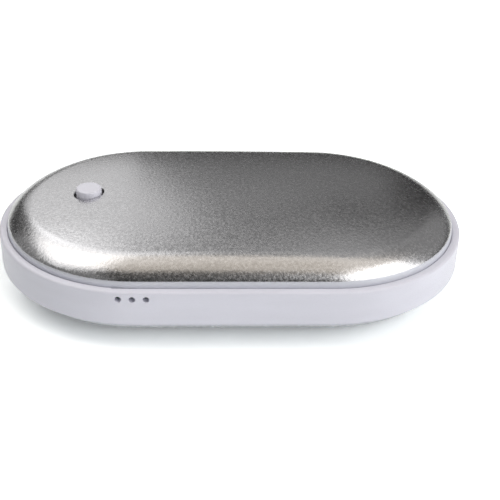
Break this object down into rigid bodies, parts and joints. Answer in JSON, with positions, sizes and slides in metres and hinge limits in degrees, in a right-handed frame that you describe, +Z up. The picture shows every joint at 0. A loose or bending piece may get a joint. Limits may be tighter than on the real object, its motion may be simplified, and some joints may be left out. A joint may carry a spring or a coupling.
{
  "type": "rechargeable hand warmer",
  "caption": "Pebble-shaped rechargeable hand warmer: two domed metal shells on a plastic band, push button, indicator holes, USB sockets.",
  "frame": {"origin": "middle of the flat on the bottom shell that the body rests on", "axes": "+X along the length away from the button, -Y towards the side with the indicator holes, +Z up"},
  "size_m": [0.11, 0.067, 0.023],
  "materials": {
    "shell_metal": "fine bead-blasted, clear anodised",
    "band_plastic": "satin moulded",
    "button_plastic": "satin moulded",
    "tray_plastic": "matte moulded",
    "glue": "soft",
    "steel": "satin",
    "heater_film": "clear amber film",
    "foil": "etched foil",
    "foam": "soft foam",
    "pouch_foil": "laminated foil",
    "circuit_board": "solder mask",
    "black_part": "moulded",
    "ceramic": "fired ceramic",
    "natural_plastic": "moulded",
    "gold_contact": "gold flash",
    "lead_cover": "soft wire cover",
    "light_lens": "clear resin"
  },
  "bodies": {
    "housing": {"top_shell": "shell_metal", "bottom_shell": "shell_metal", "mid_frame": "band_plastic", "top_adhesive_ring": "glue", "bottom_adhesive_ring": "glue", "lower_tray": "tray_plastic", "battery_cover": "tray_plastic", "tray_screws": "steel", "cover_screws": "steel", "top_heater_film": "heater_film", "top_heater_track": "foil", "bottom_heater_film": "heater_film", "bottom_heater_track": "foil", "top_insulation_pad": "foam", "bottom_insulation_pad": "foam", "top_thermistor": "black_part", "bottom_thermistor": "black_part", "cell_upper": "pouch_foil", "cell_lower": "pouch_foil", "cell_tabs": "steel", "cell_tape": "glue", "battery_wrap": "heater_film", "protection_board": "circuit_board", "protection_chips": "black_part", "main_board": "circuit_board", "board_screws": "steel", "control_chip": "black_part", "boost_chip": "black_part", "power_inductor": "black_part", "ceramic_capacitors": "ceramic", "resistors": "black_part", "storage_capacitor": "steel", "lead_sockets": "natural_plastic", "lead_plugs": "natural_plastic", "battery_leads": "lead_cover", "heater_leads": "lead_cover", "thermistor_leads": "lead_cover", "indicator_leds": "light_lens", "usb_out_shell": "steel", "usb_out_tongue": "black_part", "usb_out_contacts": "gold_contact", "usb_in_shell": "steel", "usb_in_tongue": "black_part", "switch_base": "black_part", "switch_dome": "steel", "switch_cover": "steel", "button_guide": "tray_plastic"},
    "button": {"power_button": "button_plastic"},
    "plunger": {"switch_plunger": "black_part"}
  },
  "joints": [
    {"name": "button_press", "type": "slide", "parent": "housing", "child": "button", "axis": [0, 0, -1], "range_m": [0, 0.0004], "stiffness_N_per_m": 600, "springref_m": -0.0005},
    {"name": "plunger_travel", "type": "slide", "parent": "housing", "child": "plunger", "axis": [0, 0, -1], "range_m": [0, 0.0004], "deforming": ["switch_dome"]}
  ],
  "couplings": [
    {"joint": "plunger_travel", "follows": "button_press", "ratio": 1}
  ]
}
